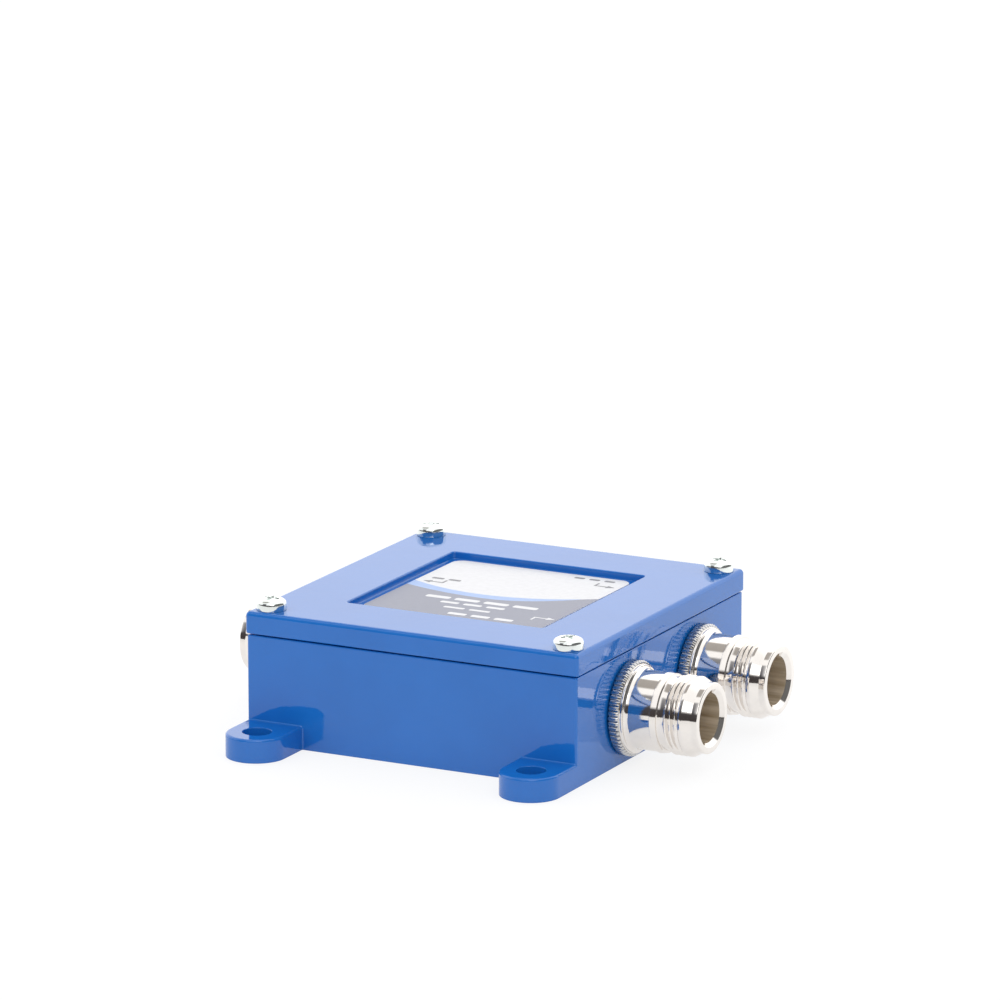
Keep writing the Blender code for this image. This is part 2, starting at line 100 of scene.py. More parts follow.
# Connector stations, outwards from the wall
REACH = 18.3
FLANGE_BASE = 0.4
FLANGE_FRONT = 2.45
FLANGE_RADIUS = 9.5
TOOTH_COUNT = 56
TOOTH_HEIGHT = 0.48
TOOTH_CHAMFER = 0.4
TOOTH_EDGE = 0.1
TOOTH_ROOT = 0.15
TOOTH_ROOT_SHARE = 0.46
TOOTH_FLANK = ((0.6, 0.37), (0.15, 0.24), (0.0, 0.09))
FLANGE_EDGE = 0.15
COLLAR_RADIUS = 8.75
COLLAR_FRONT = 3.0
COLLAR_FOOT = 0.12
COLLAR_EDGE = 0.18
COLLAR_STEP = 0.25
NECK_RADIUS = 7.85
NECK_BASE = 4.0
SHOULDER_RADIUS = 8.05
SHOULDER_CROWN = 0.22
SHOULDER_BASE = 8.5
SHOULDER_FRONT = 9.75
SHOULDER_EDGE = 0.05
SHOULDER_STEPS = 8
RELIEF_RADIUS = 7.3
RELIEF_FOOT = 0.25
THREAD_BASE = 11.2
THREAD_FRONT = 14.7
THREAD_PITCH = 1.058
THREAD_RADIUS = 7.95
THREAD_ROOT = 7.32
THREAD_FLANK = 0.82
THREAD_VALLEY = 0.08
THREAD_RUN_IN = 0.5
THREAD_RUN_OUT = 0.6
LAND_FRONT = 15.35
PILOT_BASE = 16.95
PILOT_RADIUS = 7.05
PILOT_BEVEL = 0.22
MOUTH_RADIUS = 5.7
MOUTH_EDGE = 0.05
BORE_RADIUS = 4.95
BORE_DEPTH = 6.0
INNER_BORE_RADIUS = 4.05
BORE_STEP = 0.1
SHANK_RADIUS = 6.3
SHANK_LENGTH = 4.4
SLEEVE_FRONT = 9.1
SLEEVE_RADIUS = 3.75
SLEEVE_GAP = 0.3
SLEEVE_EDGE = 0.2
CONTACT_TIP = 14.2
CONTACT_RADIUS = 1.52
CONTACT_HOLE = 0.8
CONTACT_HOLE_DEPTH = 4.5
CONTACT_SLOT = 0.35
CONTACT_EDGE = 0.18
TAIL_RADIUS = 0.65
TAIL_LENGTH = 4.6

# Fineness, and how far a cutting shape passes a surface
CORNER_STEPS = 8
EDGE_STEPS = 5
ROUND_STEPS = 48
TURNED_STEPS = 144
THREAD_STEPS = 50
LABEL_STEPS = 12
OVERCUT = 1.0

CORNERS = ((-1, -1), (1, -1), (-1, 1), (1, 1))

# Label print
LABEL_CORNER = 2.5
LABEL_EDGE = 0.04
LABEL_GAP = 0.02
PRINT_RISE = 0.02
STRIPE_BACK = (-3.0, -1.2, 0.0145, 0.0145)
STRIPE_FRONT = (-1.0, -3.8, 0.0095, 0.026)
STRIPE_STEPS = 40
STRIPE_LEAST = 0.02
BAR_GAP = 1.1
BAR_ROUNDNESS = 0.3
WHITE_BARS = (
    (-6.7, -12.5, 12.3, 1.7, 4),
    (-9.7, -7.7, 6.5, 1.3, 3),
    (-13.0, -5.3, 4.9, 1.1, 2),
    (-17.0, -2.3, 12.0, 1.5, 3),
)
GREY_BARS = ((6.4, -18.0, -11.6, 1.0, 2), (19.4, 7.5, 16.5, 1.0, 3))
WHITE_ARROWS = ((19.0, -12.4, 1, -1),)
GREY_ARROWS = ((-18.6, 3.6, -1, 1), (18.4, 15.4, 1, 1))
ARROW_SHAFT = 0.45
ARROW_HEAD = (1.8, 1.7)
ARROW_LENGTH = 4.6
ARROW_TAIL = 1.9

# Finishes: a colour and a roughness, or two shades
GREY_INK = ((0.185, 0.195, 0.275), 0.28)
PALE_BLUE_INK = ((0.28, 0.44, 0.80), 0.28)
WHITE_INK = ((0.80, 0.80, 0.82), 0.28)
DARK_GREY_INK = ((0.14, 0.14, 0.16), 0.3)
FILM = ((0.76, 0.76, 0.785), 0.28)
NICKEL = ((0.85, 0.81, 0.77), 0.07)
# Flange teeth: the shell's nickel made darker, as painted shade from the shaded wall beside them
ROLLED_NICKEL_IN_PAINTED_SHADE = ((0.60, 0.59, 0.58), 0.15)
ZINC = ((0.84, 0.88, 0.86), 0.12)
GOLD = ((0.9, 0.62, 0.25), 0.16)
FLUOROPOLYMER = ((0.86, 0.86, 0.83), 0.35)
LAMINATE = ((0.02, 0.13, 0.05), 0.4)
COPPER = ((0.75, 0.36, 0.2), 0.3)
CERAMIC = ((0.03, 0.03, 0.035), 0.35)
INNER_ZINC = ((0.72, 0.74, 0.74), 0.3)
ENAMEL = ((0.010, 0.146, 0.525), (0.012, 0.158, 0.560))
ENAMEL_ROUGHNESS = 0.055
# Bore browns: painted shade and painted reflection for the inside of the plated sockets
BORE_PAINTED_SHADES = ((0.38, 0.30, 0.20), (0.66, 0.57, 0.45))
BORE_ROUGHNESS = 0.3
TABLE_SHADE = (0.92, 0.92, 0.92, 1.0)
TABLE_ROUGHNESS = 0.6
CUT_MARKS = 9000.0

# Light
WHITE = (1.0, 1.0, 1.0, 1.0)
TENT_LIGHT = 1.56
TENT = (
    (-180, (1.0, 1.0, 1.0)),
    (-3, (0.8, 0.8, 0.8)),
    (-1, (0.035, 0.03, 0.03)),
    (20, (0.045, 0.04, 0.042)),
    (27, (0.74, 0.74, 0.75)),
    (90, (0.78, 0.78, 0.78)),
    (120, (0.98, 0.98, 0.98)),
    (180, (1.0, 1.0, 1.0)),
)
CARDS = (
    (-3, (0.8, 0.8, 0.8)),
    (-1, (0.035, 0.03, 0.03)),
    (22, (0.045, 0.042, 0.045)),
    (30, (0.10, 0.10, 0.11)),
    (56, (0.22, 0.22, 0.23)),
    (62, (0.77, 0.77, 0.77)),
    (77, (0.78, 0.78, 0.78)),
    (82, (0.29, 0.275, 0.26)),
    (110, (0.32, 0.305, 0.29)),
    (116, (1.0, 1.0, 1.0)),
)
CARD_SIDE = -0.44
CARD_REACH = 0.16
CARD_FADE = 0.08
LAMP_SIDE = 0.44
LAMP_REACH = 0.2
LAMP_LIGHT = 2.5
LAMP_SPREAD = (math.radians(26), math.radians(56))
SIDE_REACH = 0.62
SIDE_FADE = 0.05
SIDE_RISE = 0.08
SIDE_LIGHT = 0.16
SKY_LIGHT = 0.75
SKY_RISE = 0.5
FLOOR_TOP = -0.02
FLOOR_SIDES = (-2500.0, 2500.0)
FLOOR_ENDS = (-500.0, 4000.0)
FLOOR_GLOW_FRONT = 0.98
FLOOR_GLOW_BACK = 1.4
FLOOR_GLOW_SEEN = 1.05
FLOOR_GLOW_TURN = 0.1
FLOOR_SEEN_SHARE = 0.78
FLOOR_MIRROR_SHARE = 0.55


def box_mm(node):
    """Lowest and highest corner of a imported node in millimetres."""
    low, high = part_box(node)
    return low / METRE, high / METRE


# Shapes


def arc(centre, radius, start, end, steps):
    """Points of an arc between two angles in degrees, ends included."""
    turns = [math.radians(start + (end - start) * i / steps) for i in range(steps + 1)]
    return [(centre[0] + radius * math.cos(t), centre[1] + radius * math.sin(t)) for t in turns]


def circle(radius, steps, centre=(0.0, 0.0)):
    """Points of a circle, counter-clockwise."""
    return arc(centre, radius, 0.0, 360.0, steps)[:-1]


def rounded_rectangle(length, width, radius, centre=(0.0, 0.0), steps=CORNER_STEPS):
    """Outline of a rectangle with round corners, counter-clockwise."""
    points = []
    for start, (side_x, side_y) in zip((0, 90, 180, 270), ((1, 1), (-1, 1), (-1, -1), (1, -1))):
        corner_x = centre[0] + side_x * (length / 2 - radius)
        corner_y = centre[1] + side_y * (width / 2 - radius)
        points += arc((corner_x, corner_y), radius, start, start + 90, steps)
    return points


def quarter_turns(steps=EDGE_STEPS):
    """Angles of a quarter turn in radians, ends included."""
    return [math.radians(90 * i / steps) for i in range(steps + 1)]


def lower_round(outline, low, radius):
    """Levels of a rounded lower edge, for an outline function of its inset."""
    turns = quarter_turns()
    return [(outline(radius * (1 - math.sin(t))), low + radius * (1 - math.cos(t))) for t in turns]


def upper_round(outline, high, radius):
    """Levels of a rounded upper edge, for an outline function of its inset."""
    turns = quarter_turns()
    return [(outline(radius * (1 - math.cos(t))), high - radius * (1 - math.sin(t))) for t in turns]


def loft(levels, shape=None):
    """A closed solid through outlines with equal point counts, stacked along Z."""
    shape = shape or bmesh.new()
    rings = [[shape.verts.new((x, y, z)) for x, y in points] for points, z in levels]
    count = len(rings[0])
    for low, high in zip(rings, rings[1:]):
        for i in range(count):
            j = (i + 1) % count
            shape.faces.new((low[i], low[j], high[j], high[i]))
    shape.faces.new(list(reversed(rings[0])))
    shape.faces.new(rings[-1])
    return shape


def prism(outline, low, high, shape=None):
    """A straight-sided solid between two heights."""
    return loft([(outline, low), (outline, high)], shape)


def lathe(profile, steps, closed=False, reach=None):
    """Turns a profile of (station, radius) about X.

    reach, if given, changes the radius with station and angle.
    """
    shape = bmesh.new()
    path = shape.verts.layers.float.new("cut_path")
    rings = []
    travel = 0.0
    before = profile[0]
    for station, radius in profile:
        travel += math.dist(before, (station, radius)) * METRE
        before = (station, radius)
        ring = []
        for i in range(steps if radius > 0.0 else 1):
            turn = 2 * math.pi * i / steps
            r = reach(station, radius, turn) if reach else radius
            vertex = shape.verts.new((station, r * math.cos(turn), r * math.sin(turn)))
            vertex[path] = travel
            ring.append(vertex)
        rings.append(ring)
    pairs = list(zip(rings, rings[1:]))
    if closed:
        pairs.append((rings[-1], rings[0]))
    for first, second in pairs:
        for i in range(steps):
            j = i + 1
            near = [first[i % len(first)], first[j % len(first)]]
            far = [second[j % len(second)], second[i % len(second)]]
            shape.faces.new(list(dict.fromkeys(near + far)))
    return shape


def fillet(start, end, bulge, steps=EDGE_STEPS):
    """Profile points of a quarter ellipse between two (station, radius) points.

    bulge 1 leaves start along the axis, and bulge 0 leaves it along the radius.
    """
    points = []
    for t in quarter_turns(steps):
        along = math.sin(t) if bulge else 1 - math.cos(t)
        across = 1 - math.cos(t) if bulge else math.sin(t)
        points.append((start[0] + (end[0] - start[0]) * along, start[1] + (end[1] - start[1]) * across))
    return points


def cross(arm, half, web):
    """Outline of a cross with four equal arms, with its inner corners at (web, web)."""
    points = []
    for quarter in range(4):
        turn = math.pi / 2 * quarter
        for x, y in ((arm, -half), (arm, half), (web, web)):
            across = x * math.cos(turn) - y * math.sin(turn)
            points.append((across, x * math.sin(turn) + y * math.cos(turn)))
    return points


def turn_to_z(shape):
    """Stands a solid modelled along X up along Z."""
    for vertex in shape.verts:
        x, y, z = vertex.co
        vertex.co = (y, z, x)
    return shape


def turn_to_x(shape):
    """Lays a solid modelled along Z down along X."""
    for vertex in shape.verts:
        x, y, z = vertex.co
        vertex.co = (z, x, y)
    return shape


def make_object(name, shape, material=None, sharp=35.0):
    """Turns a bmesh in millimetres into a named object in metres."""
    bmesh.ops.recalc_face_normals(shape, faces=shape.faces)
    bmesh.ops.scale(shape, vec=(METRE, METRE, METRE), verts=shape.verts)
    mesh = bpy.data.meshes.new(name)
    shape.to_mesh(mesh)
    shape.free()
    thing = bpy.data.objects.new(name, mesh)
    bpy.context.scene.collection.objects.link(thing)
    if material is not None:
        mesh.materials.append(material)
    shade(mesh, sharp)
    return thing


def move_mesh(thing, matrix):
    """Moves an object's mesh and leaves the object at the origin."""
    thing.data.transform(matrix)
    thing.data.update()
    return thing


def boolean(target, tools):
    """Applies joining and cutting tools in turn, and removes them."""
    for tool, operation in tools:
        step = target.modifiers.new(tool.name, "BOOLEAN")
        step.operation = operation
        step.solver = "EXACT"
        step.object = tool
    bake(target)
    for tool, _ in tools:
        bpy.data.objects.remove(tool, do_unlink=True)
    return target


def keep_result(thing):
    """Replaces an object's mesh with its evaluated one, and drops its modifiers."""
    bpy.context.view_layer.update()
    graph = bpy.context.evaluated_depsgraph_get()
    mesh = bpy.data.meshes.new_from_object(thing.evaluated_get(graph), depsgraph=graph)
    thing.modifiers.clear()
    thing.data = mesh
    mesh.name = thing.name


def shade(mesh, sharp=35.0):
    """Shades a mesh smooth, apart from edges past an angle in degrees."""
    mesh.shade_smooth()
    mesh.set_sharp_from_angle(angle=math.radians(sharp))


def bake(thing):
    """Keeps the result of an object's modifiers, and shades it."""
    keep_result(thing)
    shade(thing.data)
    return thing


def flatten_shading(thing):
    """Keeps broad faces flat-looking beside their rounded edges."""
    step = thing.modifiers.new("flat_faces", "WEIGHTED_NORMAL")
    step.keep_sharp = True
    step.weight = 80
    keep_result(thing)


def round_inner_edges(thing, radius):
    """Rounds the square inner edges, where one surface runs into another."""
    shape = bmesh.new()
    shape.from_mesh(thing.data)
    square = math.radians(70)
    inner = [e for e in shape.edges if len(e.link_faces) == 2 and e.calc_face_angle_signed() < -square]
    bmesh.ops.bevel(shape, geom=inner, offset=radius * METRE, segments=4, profile=0.5, affect="EDGES")
    shape.to_mesh(thing.data)
    shape.free()
    shade(thing.data)


def dress(thing, slot, *nodes):
    """Fixes a finished piece to the part, in place of the nodes it stands for."""
    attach(thing, ROOT)
    if nodes:
        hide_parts(*nodes)


# Materials


class Tree:
    """Short ways to add and join the nodes of one tree."""

    def __init__(self, tree):
        self.tree = tree

    def feed(self, socket, value):
        """Gives a socket a constant, or a link from another node."""
        if isinstance(value, bpy.types.NodeSocket):
            self.tree.links.new(value, socket)
        else:
            socket.default_value = value

    def add(self, kind, feeds=None, **settings):
        """Adds a node with its settings, and feeds its sockets."""
        node = self.tree.nodes.new(kind)
        for key, value in settings.items():
            setattr(node, key, value)
        for socket, value in (feeds or {}).items():
            self.feed(node.inputs[socket], value)
        return node

    def math(self, operation, *values):
        """One sum on numbers or sockets."""
        return self.add("ShaderNodeMath", dict(enumerate(values)), operation=operation).outputs[0]

    def levels(self, value, low, high, to_low=0.0, to_high=1.0):
        """Stretches a value from one range to another, and clamps it there."""
        feeds = {"Value": value, "From Min": low, "From Max": high, "To Min": to_low, "To Max": to_high}
        return self.add("ShaderNodeMapRange", feeds).outputs["Result"]

    def ramp(self, value, stops):
        """Colours along a value, from stops of a position and a colour."""
        node = self.add("ShaderNodeValToRGB", {"Fac": value})
        elements = node.color_ramp.elements
        while len(elements) < len(stops):
            elements.new(0.5)
        for element, (position, colour) in zip(elements, stops):
            element.position = position
            element.color = (*colour, 1.0)
        return node.outputs["Color"]

    def light(self, colour, strength):
        """Light that a world sends out, of a colour and a strength."""
        return self.add("ShaderNodeBackground", {"Color": colour, "Strength": strength}).outputs[0]

    def away(self, value, middle):
        """How far a value lies from a middle, on either side."""
        return self.math("ABSOLUTE", self.math("SUBTRACT", value, middle))

    def mix(self, share, first, second):
        """A blend of two shaders."""
        return self.add("ShaderNodeMixShader", {0: share, 1: first, 2: second}).outputs[0]


class Finish(Tree):
    """A material with a Principled shader, and the patterns that feed it."""

    def __init__(self, name, **constants):
        self.material = bpy.data.materials.new(name)
        self.material.use_nodes = True
        super().__init__(self.material.node_tree)
        self.shader = self.tree.nodes["Principled BSDF"]
        for key, value in constants.items():
            self.shader.inputs[key.replace("_", " ")].default_value = value

    def place(self, scale=(1.0, 1.0, 1.0)):
        """Object coordinates, stretched along the axes."""
        coordinates = self.add("ShaderNodeTexCoord").outputs["Object"]
        return self.add("ShaderNodeMapping", {"Vector": coordinates, "Scale": scale}).outputs[0]

    def noise(self, scale, detail=2.0, vector=None):
        """A fractal mottle, with its scale in spots to the metre."""
        feeds = {"Scale": scale, "Detail": detail, "Vector": vector or self.place()}
        return self.add("ShaderNodeTexNoise", feeds).outputs["Fac"]

    def tint(self, pattern, dark, light):
        """Colours the surface between two shades."""
        self.feed(self.shader.inputs["Base Color"], self.ramp(pattern, [(0.3, dark), (0.7, light)]))

    def bump(self, *layers):
        """Roughens the surface with layers of a pattern, a depth in metres and a strength."""
        normal = None
        for pattern, depth, strength in layers:
            node = self.add("ShaderNodeBump", {"Height": pattern, "Distance": depth, "Strength": strength})
            if normal is not None:
                self.feed(node.inputs["Normal"], normal)
            normal = node.outputs["Normal"]
        self.feed(self.shader.inputs["Normal"], normal)


def blue_enamel():
    """Glossy blue enamel with a slight orange peel."""
    made = Finish("blue_enamel", Roughness=ENAMEL_ROUGHNESS, IOR=1.56)
    made.tint(made.noise(90.0, 3.0), *ENAMEL)
    made.bump((made.noise(520.0), 0.00004, 0.3), (made.noise(2400.0, 1.0), 0.00001, 0.25))
    return made.material


def turned_metal(name, colour, roughness):
    """Bright plated metal with fine lathe marks that follow the cut."""
    made = Finish(name, Metallic=1.0, Roughness=roughness)
    made.tint(made.noise(450.0, 3.0), tuple(0.94 * c for c in colour), colour)
    path = made.add("ShaderNodeAttribute", attribute_name="cut_path").outputs["Fac"]
    marks = made.math("MULTIPLY", path, CUT_MARKS)
    grooves = made.noise(1.0, 2.0, made.add("ShaderNodeCombineXYZ", {"X": marks}).outputs[0])
    made.bump((grooves, 0.000003, 0.5), (made.noise(1500.0, 3.0), 0.000006, 0.35))
    return made.material


def painted_shade_bore():
    """The dull inside of a socket in painted shade: dark browns with painted reflection streaks along its
    axis.
    """
    made = Finish("bore_brass", Metallic=0.2, Roughness=BORE_ROUGHNESS)
    # The streaks are painted reflection in the colour, and fine marks in the bump
    streaks_and_painted_reflection = made.noise(1.0, 3.0, made.place((60.0, 1100.0, 1100.0)))
    made.tint(streaks_and_painted_reflection, *BORE_PAINTED_SHADES)
    made.bump((streaks_and_painted_reflection, 0.00002, 0.4))
    return made.material


def mottled(name, colour, roughness, metallic=0.0, spots=900.0, ior=1.5):
    """A moulded, plated or printed finish with a faint mottle."""
    made = Finish(name, Metallic=metallic, Roughness=roughness, IOR=ior)
    made.tint(made.noise(spots, 3.0), tuple(0.93 * c for c in colour), colour)
    made.bump((made.noise(3 * spots), 0.000006, 0.4))
    return made.material


# Camera, light and floor


def camera_axes():
    """The camera's right, up and backward directions."""
    yaw = math.radians(CAMERA_YAW)
    pitch = math.radians(CAMERA_PITCH)
    right = Vector((math.cos(yaw), math.sin(yaw), 0.0))
    back = Vector((math.sin(yaw) * math.cos(pitch), -math.cos(yaw) * math.cos(pitch), math.sin(pitch)))
    return right, back.cross(right), back


def make_camera():
    """The camera at the photograph's viewpoint."""
    right, up, back = camera_axes()
    data = bpy.data.cameras.new("photo_camera")
    data.sensor_width = SENSOR_WIDTH
    data.lens = LENS_PER_SENSOR * SENSOR_WIDTH
    data.clip_start = 0.05
    data.clip_end = 20.0
    camera = bpy.data.objects.new("photo_camera", data)
    bpy.context.scene.collection.objects.link(camera)
    spot = (right * CAMERA_RIGHT + up * CAMERA_UP + back * CAMERA_DISTANCE) * METRE
    turn = Matrix((right, up, back)).transposed().to_4x4()
    camera.matrix_world = Matrix.Translation(spot) @ turn
    bpy.context.scene.camera = camera


def make_world():
    """A white tent for the reflections, a plain sky for the light, and a white backdrop.

    The tent has a dark gap at the front. Its cards are a dark one above the gap and a dim strip
    overhead, both to the left. A bright lamp stands above the gap to the right, and a dark card
    at the far right.
    """
    world = bpy.data.worlds.new("white_tent")
    world.use_nodes = True
    bpy.context.scene.world = world
    tree = Tree(world.node_tree)
    tree.tree.nodes.clear()
    heading = tree.add("ShaderNodeTexCoord").outputs["Generated"]
    axes = tree.add("ShaderNodeSeparateXYZ", {0: heading}).outputs
    turn = tree.math("ARCTAN2", axes["Z"], tree.math("MULTIPLY", axes["Y"], -1.0))
    share = tree.levels(turn, -math.pi, math.pi)
    colours = []
    for stops in (TENT, CARDS):
        placed = [((degrees + 180) / 360, colour) for degrees, colour in stops]
        colours.append(tree.ramp(share, placed))
    cards = tree.levels(tree.away(axes["X"], CARD_SIDE), CARD_REACH, CARD_REACH + CARD_FADE, 1.0, 0.0)
    tent = tree.mix(cards, tree.light(colours[0], TENT_LIGHT), tree.light(colours[1], TENT_LIGHT))
    lamp_width = tree.math("LESS_THAN", tree.away(axes["X"], LAMP_SIDE), LAMP_REACH)
    above = tree.math("GREATER_THAN", turn, LAMP_SPREAD[0])
    below = tree.math("LESS_THAN", turn, LAMP_SPREAD[1])
    lamp = tree.math("MULTIPLY", lamp_width, tree.math("MULTIPLY", above, below))
    tent = tree.mix(lamp, tent, tree.light(WHITE, LAMP_LIGHT))
    beside = tree.levels(axes["X"], SIDE_REACH, SIDE_REACH + SIDE_FADE)
    side = tree.math("MULTIPLY", beside, tree.levels(axes["Z"], 0.0, SIDE_RISE))
    tent = tree.mix(side, tent, tree.light(WHITE, SIDE_LIGHT))
    rise = tree.math("MAXIMUM", axes["Z"], 0.0)
    glow = tree.math("ADD", SKY_LIGHT, tree.math("MULTIPLY", rise, SKY_RISE))
    path = tree.add("ShaderNodeLightPath").outputs
    lit = tree.mix(path["Is Glossy Ray"], tree.light(WHITE, glow), tent)
    seen = tree.math("MAXIMUM", path["Is Camera Ray"], path["Is Transmission Ray"])
    tree.add("ShaderNodeOutputWorld", {"Surface": tree.mix(seen, lit, tree.light(WHITE, 1.0))})


def make_floor():
    """The pale table top, which keeps a faint shadow of the object.

    It shows brighter in reflections behind the object, where the backdrop lights it.
    """
    shape = bmesh.new()
    left, right = FLOOR_SIDES
    front, back = FLOOR_ENDS
    for x, y in ((left, front), (right, front), (right, back), (left, back)):
        shape.verts.new((x, y, FLOOR_TOP))
    shape.faces.new(list(shape.verts))
    made = Finish("white_table", Base_Color=TABLE_SHADE, Roughness=TABLE_ROUGHNESS)
    axes = made.add("ShaderNodeSeparateXYZ", {0: made.place()}).outputs
    bright = made.levels(axes["Y"], -FLOOR_GLOW_TURN, FLOOR_GLOW_TURN, FLOOR_GLOW_FRONT, FLOOR_GLOW_BACK)
    mirrored = made.add("ShaderNodeEmission", {"Strength": bright}).outputs[0]
    plain = made.add("ShaderNodeEmission", {"Strength": FLOOR_GLOW_SEEN}).outputs[0]
    path = made.add("ShaderNodeLightPath").outputs
    lit = made.shader.outputs[0]
    lit = made.mix(made.math("MULTIPLY", path["Is Camera Ray"], FLOOR_SEEN_SHARE), lit, plain)
    lit = made.mix(made.math("MULTIPLY", path["Is Glossy Ray"], FLOOR_MIRROR_SHARE), lit, mirrored)
    made.feed(made.tree.nodes["Material Output"].inputs["Surface"], lit)
    made.material.cycles.emission_sampling = "NONE"
    make_object("table_top", shape, made.material)


# Box and lid


def ear_outline(inset):
    """Outline of one D-shaped ear on the wall's line, drawn in by a distance."""
    radius = EAR_WIDTH / 2
    centre_y = BOX_DEPTH / 2 + EAR_REACH - radius
    root_y = BOX_DEPTH / 2 - EAR_ROOT
    rim = arc((0.0, centre_y), radius - inset, 0, 180, ROUND_STEPS // 2)
    return rim + [(inset - radius, root_y), (radius - inset, root_y)]


def at_corner(outline, side_x, side_y, x):
    """An outline moved along the wall to one corner, and mirrored to face outwards."""
    return [(side_x * (x + px), side_y * py) for px, py in outline]


def make_ears():
    """The four ears as one shape for joining with the box."""
    shape = bmesh.new()
    levels = lower_round(ear_outline, 0.0, FOOT_RADIUS)
    levels += upper_round(ear_outline, EAR_THICKNESS, EAR_EDGE_RADIUS)
    middle = BOX_LENGTH / 2 - EAR_WIDTH / 2
    for side_x, side_y in CORNERS:
        placed = [(at_corner(outline, side_x, side_y, middle), z) for outline, z in levels]
        loft(placed, shape)
    return make_object("ears", shape)


def make_ear_holes():
    """The four ear holes, flared at both rims."""
    shape = bmesh.new()
    for side_x, side_y in CORNERS:
        spot = (side_x * (BOX_LENGTH - EAR_WIDTH) / 2, side_y * (BOX_DEPTH / 2 + EAR_HOLE_REACH))
        sizes = [(HOLE_RIM + OVERCUT, -OVERCUT), (HOLE_RIM, 0.0), (0.0, HOLE_RIM)]
        for t in quarter_turns(3):
            sizes.append((HOLE_RIM * (1 - math.cos(t)), EAR_THICKNESS - HOLE_RIM * (1 - math.sin(t))))
        sizes.append((HOLE_RIM + OVERCUT, EAR_THICKNESS + OVERCUT))
        loft([(circle(EAR_HOLE_RADIUS + grow, ROUND_STEPS, spot), height) for grow, height in sizes], shape)
    return make_object("ear_holes", shape)


def at_port(side, y, z):
    """The place of a port on its wall, turned to face outwards."""
    turn = Matrix.Rotation(math.pi * (side < 0), 4, "Z")
    return Matrix.Translation(Vector((side * BOX_LENGTH / 2, y, z)) * METRE) @ turn


def make_body(paint, ports):
    """The box with its ears, cavity and port holes."""
    top = box_mm("enclosure_body")[1].z

    def outline(inset):
        return rounded_rectangle(BOX_LENGTH - 2 * inset, BOX_DEPTH - 2 * inset, CORNER_RADIUS - inset)

    levels = lower_round(outline, 0.0, FOOT_RADIUS) + upper_round(outline, top, RIM_RADIUS)
    body = make_object("box_body", loft(levels), paint)
    boolean(body, [(make_ears(), "UNION")])
    round_inner_edges(body, EAR_FILLET)
    inside = rounded_rectangle(BOX_LENGTH - 2 * WALL, BOX_DEPTH - 2 * WALL, CORNER_RADIUS)
    tools = [(make_object("cavity", prism(inside, FLOOR, top + OVERCUT)), "DIFFERENCE")]
    for name, side, y, z in ports:
        hole = turn_to_x(prism(circle(SHANK_RADIUS + PORT_GAP, ROUND_STEPS), -WALL - OVERCUT, OVERCUT))
        tool = move_mesh(make_object("port_" + name, hole), at_port(side, y, z))
        tools.append((tool, "DIFFERENCE"))
    tools.append((make_ear_holes(), "DIFFERENCE"))
    boolean(body, tools)
    flatten_shading(body)
    dress(body, "blue_paint", "enclosure_body")


def make_lid(paint):
    """The lid: rounded edges, a rimmed recess for the label, and screw holes."""
    low, high = box_mm("lid")
    base = low.z
    top = high.z

    def outline(inset):
        grow = LID_OVERHANG - inset
        corner = max(CORNER_RADIUS + grow, 0.05)
        return rounded_rectangle(BOX_LENGTH + 2 * grow, BOX_DEPTH + 2 * grow, corner)

    def recess(inset):
        size = (RECESS_LENGTH - 2 * inset, RECESS_WIDTH - 2 * inset)
        return rounded_rectangle(*size, RECESS_CORNER - inset, RECESS_CENTRE)

    levels = lower_round(outline, base, LID_LOWER_RADIUS) + upper_round(outline, top, LID_EDGE_RADIUS)
    floor = top - RECESS_DEPTH
    for t in quarter_turns():
        levels.append((recess(-RECESS_RIM * (1 - math.sin(t))), top - RECESS_RIM * (1 - math.cos(t))))
    for t in quarter_turns(3):
        levels.append((recess(RECESS_FOOT * (1 - math.cos(t))), floor + RECESS_FOOT * (1 - math.sin(t))))
    lid = make_object("lid_plate", loft(levels), paint)
    holes = bmesh.new()
    for side_x, side_y in CORNERS:
        spot = (side_x * (BOX_LENGTH / 2 - SCREW_INSET), side_y * (BOX_DEPTH / 2 - SCREW_INSET))
        prism(circle(SCREW_HOLE_RADIUS, ROUND_STEPS, spot), base - OVERCUT, top + OVERCUT, holes)
    boolean(lid, [(make_object("lid_holes", holes), "DIFFERENCE")])
    flatten_shading(lid)
    dress(lid, "blue_paint", "lid")


# Screws


def screw_mesh(zinc):
    """A pan-head screw with a tapered cross recess, its seat at the origin."""
    crown = HEAD_HEIGHT - HEAD_SIDE
    profile = [(HEAD_HEIGHT, 0.0)]
    for t in quarter_turns(14)[1:]:
        height = HEAD_SIDE + crown * math.cos(t) ** (2 / CROWN_POWER)
        profile.append((height, HEAD_RADIUS * math.sin(t) ** (2 / CROWN_POWER)))
    profile += fillet((HEAD_LIP, HEAD_RADIUS), (0.0, HEAD_RADIUS - HEAD_LIP), 1, 4)
    profile += [(0.0, SCREW_RADIUS), (-SCREW_LENGTH, SCREW_RADIUS), (-SCREW_LENGTH, 0.0)]
    screw = make_object("lid_screw", turn_to_z(lathe(profile, ROUND_STEPS)), zinc)
    levels = []
    for share, rise in ((CROSS_TAPER, -CROSS_DEPTH), (1.0, 0.0), (CROSS_FLARE, 0.5)):
        half = CROSS_WIDTH / 2 * (0.6 + 0.4 * share)
        levels.append((cross(CROSS_ARM * share, half, half * CROSS_WEB), HEAD_HEIGHT + rise))
    boolean(screw, [(make_object("cross", loft(levels)), "DIFFERENCE")])
    step = screw.modifiers.new("edges", "BEVEL")
    step.width = HEAD_BEVEL * METRE
    step.segments = 2
    step.limit_method = "ANGLE"
    step.angle_limit = math.radians(40)
    step.use_clamp_overlap = True
    bake(screw)
    flatten_shading(screw)
    return screw


